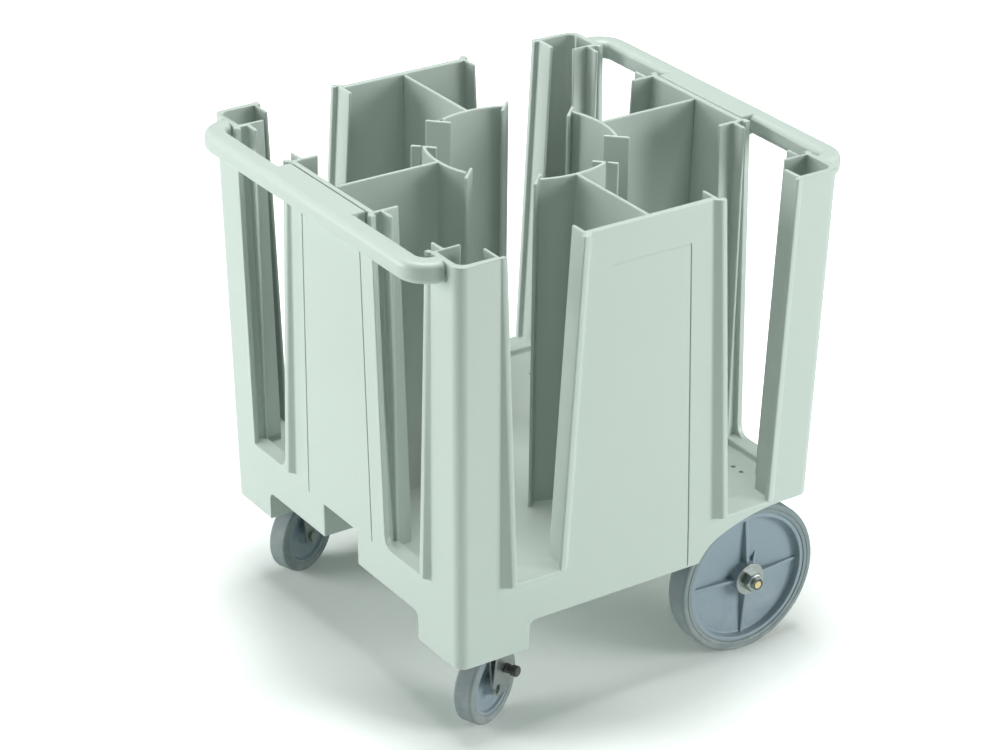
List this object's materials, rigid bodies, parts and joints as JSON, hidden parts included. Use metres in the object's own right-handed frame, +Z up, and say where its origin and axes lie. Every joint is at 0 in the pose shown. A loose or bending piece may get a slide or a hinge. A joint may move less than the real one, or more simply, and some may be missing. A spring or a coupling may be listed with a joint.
{
  "type": "dish caddy",
  "caption": "Wheeled dish caddy: moulded body with corner bays, a centre bay, upright slots and end handle rails, on large fixed wheels and swivel casters with a brake.",
  "frame": {"origin": "on the floor under the middle of the caddy", "axes": "+X towards the big wheels, +Y towards the caddy's left side, +Z up"},
  "size_m": [0.764, 0.683, 0.795],
  "materials": {
    "plastic": "satin moulded plastic with a fine grain",
    "wheel_grey": "smooth satin plastic",
    "tyre_grey": "matt non-marking rubber",
    "zinc": "zinc-plated steel",
    "dark": "dark satin plastic"
  },
  "bodies": {
    "root": {"bay_floor": "plastic", "skirt_right": "plastic", "skirt_left": "plastic", "skirt_caster_end": "plastic", "skirt_wheel_end": "plastic", "foot_right": "plastic", "foot_left": "plastic", "post_caster_right": "plastic", "post_caster_left": "plastic", "post_wheel_right": "plastic", "post_wheel_left": "plastic", "panel_right": "plastic", "panel_left": "plastic", "panel_caster_end": "plastic", "panel_wheel_end": "plastic", "divider_right": "plastic", "divider_left": "plastic", "divider_caster_end": "plastic", "divider_wheel_end": "plastic", "rail_caster_end": "plastic", "rail_wheel_end": "plastic", "axle": "zinc", "axle_bracket_right": "zinc", "axle_bracket_left": "zinc", "bracket_screws": "zinc", "axle_spacers": "zinc", "axle_washers": "zinc", "axle_nuts": "zinc", "caster_plate_right": "zinc", "caster_plate_left": "zinc", "caster_bolts": "zinc", "caster_nuts": "zinc", "kingpin_right": "zinc", "kingpin_left": "zinc"},
    "wheel_right": {"tyre_right": "tyre_grey", "wheel_centre_right": "wheel_grey", "wheel_bush_right": "dark"},
    "swivel_right": {"ball_race_right": "zinc", "fork_right": "zinc", "caster_bolt_right": "zinc", "caster_nut_right": "zinc"},
    "caster_wheel_right": {"caster_tyre_right": "tyre_grey", "caster_centre_right": "wheel_grey", "caster_bush_right": "dark"},
    "wheel_left": {"tyre_left": "tyre_grey", "wheel_centre_left": "wheel_grey", "wheel_bush_left": "dark"},
    "swivel_left": {"ball_race_left": "zinc", "fork_left": "zinc", "caster_bolt_left": "zinc", "caster_nut_left": "zinc"},
    "caster_wheel_left": {"caster_tyre_left": "tyre_grey", "caster_centre_left": "wheel_grey", "caster_bush_left": "dark"},
    "brake": {"brake_lever": "zinc", "brake_pin": "zinc", "brake_cam": "zinc", "brake_knobs": "dark"}
  },
  "joints": [
    {"name": "wheel_spin_right", "type": "hinge", "parent": "root", "child": "wheel_right", "pos_m": [0.225, -0.288, 0.125], "axis": [0, 1, 0], "continuous": true},
    {"name": "swivel_turn_right", "type": "hinge", "parent": "root", "child": "swivel_right", "pos_m": [-0.26, -0.27, 0.1405], "axis": [0, 0, 1], "continuous": true},
    {"name": "caster_spin_right", "type": "hinge", "parent": "swivel_right", "child": "caster_wheel_right", "pos_m": [-0.22529, -0.25454, 0.0635], "axis": [-0.4067, 0.9135, 0], "continuous": true},
    {"name": "wheel_spin_left", "type": "hinge", "parent": "root", "child": "wheel_left", "pos_m": [0.225, 0.288, 0.125], "axis": [0, 1, 0], "continuous": true},
    {"name": "swivel_turn_left", "type": "hinge", "parent": "root", "child": "swivel_left", "pos_m": [-0.26, 0.27, 0.1405], "axis": [0, 0, 1], "continuous": true},
    {"name": "caster_spin_left", "type": "hinge", "parent": "swivel_left", "child": "caster_wheel_left", "pos_m": [-0.22452, 0.28362, 0.0635], "axis": [-0.3584, 0.9336, 0], "continuous": true},
    {"name": "brake_press", "type": "hinge", "parent": "swivel_right", "child": "brake", "pos_m": [-0.21958, -0.28703, 0.13204], "axis": [-0.4067, 0.9135, 0], "range_deg": [0, 30]}
  ]
}
